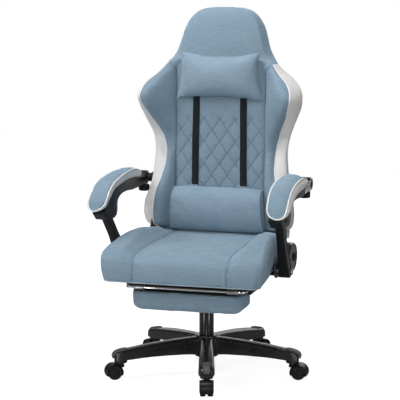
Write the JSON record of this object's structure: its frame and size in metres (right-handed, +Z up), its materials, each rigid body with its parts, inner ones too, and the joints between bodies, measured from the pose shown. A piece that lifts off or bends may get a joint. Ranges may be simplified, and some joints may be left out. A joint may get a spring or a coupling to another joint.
{
  "type": "gaming chair",
  "caption": "High-back swivel gaming chair with fold-back recline, linked arms, pull-out footrest, head and lumbar pillows and a five-leg caster base.",
  "frame": {"origin": "on the floor, at the middle of the underside of the chair's bounding box; the gas column's axis stands 7.6 mm towards -X and 3.1 mm towards +Y of it", "axes": "+Z up along the gas column; the sitter faces -Y, and +X is the sitter's left"},
  "size_m": [0.7012, 0.694, 1.229],
  "materials": {
    "blue_fabric": "woven blue-grey linen-look cloth, matt, quilted in diamonds on the middle of the back only",
    "black_webbing": "flat black woven polyester webbing",
    "black_nylon": "injection-moulded black nylon, semi-gloss",
    "gloss_black": "glossy black moulding",
    "black_steel": "black powder coat on steel",
    "bright_steel": "ground bright steel",
    "chrome": "chromium-plated steel rod",
    "plywood": "bent plywood, raw",
    "black_board": "black ribbed polypropylene board"
  },
  "bodies": {
    "base": {"star_base": "black_nylon", "column_tube": "black_steel", "column_bush": "black_nylon", "thrust_bearing": "bright_steel", "piston_rod": "bright_steel"},
    "caster_1": {"caster_hood_1": "black_nylon"},
    "caster_2": {"caster_hood_2": "black_nylon"},
    "caster_3": {"caster_hood_3": "black_nylon"},
    "caster_4": {"caster_hood_4": "black_nylon"},
    "caster_5": {"caster_hood_5": "black_nylon"},
    "wheels_1": {"caster_wheels_1": "black_nylon"},
    "wheels_2": {"caster_wheels_2": "black_nylon"},
    "wheels_3": {"caster_wheels_3": "black_nylon"},
    "wheels_4": {"caster_wheels_4": "black_nylon"},
    "wheels_5": {"caster_wheels_5": "black_nylon"},
    "lift": {"gas_cylinder": "bright_steel"},
    "mechanism": {"tilt_housing": "black_steel", "tilt_shaft": "bright_steel", "tension_spring": "bright_steel"},
    "tension_knob": {"tension_knob": "gloss_black"},
    "height_lever": {"height_lever": "black_steel"},
    "seat": {"seat_plate": "black_steel", "seat_pan": "plywood", "seat_cushion": "blue_fabric", "recliner_plate_left": "black_steel", "recliner_plate_right": "black_steel", "recliner_hub_left": "bright_steel", "recliner_hub_right": "bright_steel", "recliner_cover_left": "gloss_black", "recliner_cover_right": "gloss_black", "strut_bolt_left": "bright_steel", "strut_bolt_right": "bright_steel", "footrest_guide_left": "black_nylon", "footrest_guide_right": "black_nylon", "footrest_crossmember": "black_steel"},
    "recline_lever": {"recline_lever": "black_steel"},
    "strut_left": {"arm_strut_left": "black_nylon"},
    "strut_right": {"arm_strut_right": "black_nylon"},
    "back": {"back_cushion": "blue_fabric", "back_bolster_left": "blue_fabric", "back_bolster_right": "blue_fabric", "back_frame": "black_steel", "back_hinge_plate_left": "black_steel", "back_hinge_plate_right": "black_steel", "arm_bracket_left": "black_steel", "arm_bracket_right": "black_steel", "strap_left": "black_webbing", "strap_right": "black_webbing"},
    "arm_left": {"arm_beam_left": "black_nylon", "arm_pad_left": "blue_fabric"},
    "arm_right": {"arm_beam_right": "black_nylon", "arm_pad_right": "blue_fabric"},
    "arm_knob_left": {"arm_knob_left": "gloss_black"},
    "arm_knob_right": {"arm_knob_right": "gloss_black"},
    "headrest_pillow": {"headrest_pillow": "blue_fabric"},
    "lumbar_pillow": {"lumbar_pillow": "blue_fabric"},
    "footrest_rods": {"footrest_frame": "chrome"},
    "footrest_panel": {"footrest_board": "black_board", "footrest_pad": "blue_fabric"}
  },
  "joints": [
    {"name": "caster_swivel_1", "type": "hinge", "parent": "base", "child": "caster_1", "pos_m": [0.07651, -0.2901, 0.06], "axis": [0, 0, 1], "continuous": true},
    {"name": "wheel_roll_1", "type": "hinge", "parent": "caster_1", "child": "wheels_1", "pos_m": [0.08313, -0.31317, 0.025], "axis": [0.9613, 0.2756, 0], "continuous": true},
    {"name": "caster_swivel_2", "type": "hinge", "parent": "base", "child": "caster_2", "pos_m": [0.29726, -0.00756, 0.06], "axis": [0, 0, 1], "continuous": true},
    {"name": "wheel_roll_2", "type": "hinge", "parent": "caster_2", "child": "wheels_2", "pos_m": [0.32125, -0.0084, 0.025], "axis": [0.0349, 0.9994, 0], "continuous": true},
    {"name": "caster_swivel_3", "type": "hinge", "parent": "base", "child": "caster_3", "pos_m": [0.09676, 0.28969, 0.06], "axis": [0, 0, 1], "continuous": true},
    {"name": "wheel_roll_3", "type": "hinge", "parent": "caster_3", "child": "wheels_3", "pos_m": [0.10497, 0.31224, 0.025], "axis": [-0.9397, 0.342, 0], "continuous": true},
    {"name": "caster_swivel_4", "type": "hinge", "parent": "base", "child": "caster_4", "pos_m": [-0.2479, 0.19086, 0.06], "axis": [0, 0, 1], "continuous": true},
    {"name": "wheel_roll_4", "type": "hinge", "parent": "caster_4", "child": "wheels_4", "pos_m": [-0.26681, 0.20564, 0.025], "axis": [-0.6157, -0.788, 0], "continuous": true},
    {"name": "caster_swivel_5", "type": "hinge", "parent": "base", "child": "caster_5", "pos_m": [-0.26041, -0.16747, 0.06], "axis": [0, 0, 1], "continuous": true},
    {"name": "wheel_roll_5", "type": "hinge", "parent": "caster_5", "child": "wheels_5", "pos_m": [-0.28031, -0.18089, 0.025], "axis": [0.5592, -0.829, 0], "continuous": true},
    {"name": "seat_lift", "type": "slide", "parent": "base", "child": "lift", "axis": [0, 0, 1], "range_m": [0, 0.08]},
    {"name": "seat_swivel", "type": "hinge", "parent": "lift", "child": "mechanism", "pos_m": [-0.00755, 0.00309, 0.33], "axis": [0, 0, 1], "continuous": true},
    {"name": "tension_turn", "type": "hinge", "parent": "mechanism", "child": "tension_knob", "pos_m": [-0.00755, -0.04691, 0.3], "axis": [0, 0, 1], "range_deg": [0, 720]},
    {"name": "height_lever_lift", "type": "hinge", "parent": "mechanism", "child": "height_lever", "pos_m": [-0.06755, -0.03692, 0.326], "axis": [0, 1, 0], "range_deg": [0, 5], "stiffness_Nm_per_rad": 0.5, "springref_deg": -11.46},
    {"name": "seat_rock", "type": "hinge", "parent": "mechanism", "child": "seat", "pos_m": [-0.00755, -0.07192, 0.34], "axis": [-1, 0, 0], "range_deg": [0, 10], "stiffness_Nm_per_rad": 150, "springref_deg": -28.36, "deforming": ["tension_spring"]},
    {"name": "recline_lever_lift", "type": "hinge", "parent": "seat", "child": "recline_lever", "pos_m": [-0.29755, 0.08808, 0.4], "axis": [-1, 0, 0], "range_deg": [0, 25], "stiffness_Nm_per_rad": 0.6, "springref_deg": -17.19},
    {"name": "recline", "type": "hinge", "parent": "seat", "child": "back", "pos_m": [-0.00755, 0.08808, 0.4], "axis": [-1, 0, 0], "range_deg": [0, 40]},
    {"name": "strut_left_swing", "type": "hinge", "parent": "seat", "child": "strut_left", "pos_m": [0.26245, -0.03191, 0.372], "axis": [-1, 0, 0], "range_deg": [0, 35]},
    {"name": "strut_right_swing", "type": "hinge", "parent": "seat", "child": "strut_right", "pos_m": [-0.27755, -0.03191, 0.372], "axis": [-1, 0, 0], "range_deg": [0, 35]},
    {"name": "arm_left_tilt", "type": "hinge", "parent": "back", "child": "arm_left", "pos_m": [0.28845, 0.21508, 0.632], "axis": [-1, 0, 0], "range_deg": [-15, 0]},
    {"name": "arm_right_tilt", "type": "hinge", "parent": "back", "child": "arm_right", "pos_m": [-0.30355, 0.21508, 0.632], "axis": [-1, 0, 0], "range_deg": [-15, 0]},
    {"name": "arm_knob_left_turn", "type": "hinge", "parent": "arm_left", "child": "arm_knob_left", "pos_m": [0.28245, 0.21508, 0.596], "axis": [0, 0, 1], "range_deg": [0, 360]},
    {"name": "arm_knob_right_turn", "type": "hinge", "parent": "arm_right", "child": "arm_knob_right", "pos_m": [-0.29755, 0.21508, 0.596], "axis": [0, 0, 1], "range_deg": [0, 360]},
    {"name": "headrest_slide", "type": "slide", "parent": "back", "child": "headrest_pillow", "axis": [0, 0, 1], "range_m": [-0.05, 0.03]},
    {"name": "lumbar_slide", "type": "slide", "parent": "back", "child": "lumbar_pillow", "axis": [0, 0, 1], "range_m": [0, 0.05]},
    {"name": "footrest_pull", "type": "slide", "parent": "seat", "child": "footrest_rods", "axis": [0, -1, 0], "range_m": [0, 0.34]},
    {"name": "footrest_turn", "type": "hinge", "parent": "footrest_rods", "child": "footrest_panel", "pos_m": [-0.00755, -0.24791, 0.338], "axis": [-1, 0, 0], "range_deg": [0, 180]}
  ],
  "couplings": [
    {"joint": "strut_left_swing", "follows": "recline", "ratio": 0.855},
    {"joint": "strut_right_swing", "follows": "recline", "ratio": 0.855},
    {"joint": "arm_left_tilt", "follows": "recline", "ratio": -0.33},
    {"joint": "arm_right_tilt", "follows": "recline", "ratio": -0.33},
    {"joint": "lumbar_slide", "follows": "recline", "m_per_rad": 0.063},
    {"joint": "footrest_turn", "follows": "footrest_pull", "rad_per_m": 9.2}
  ]
}
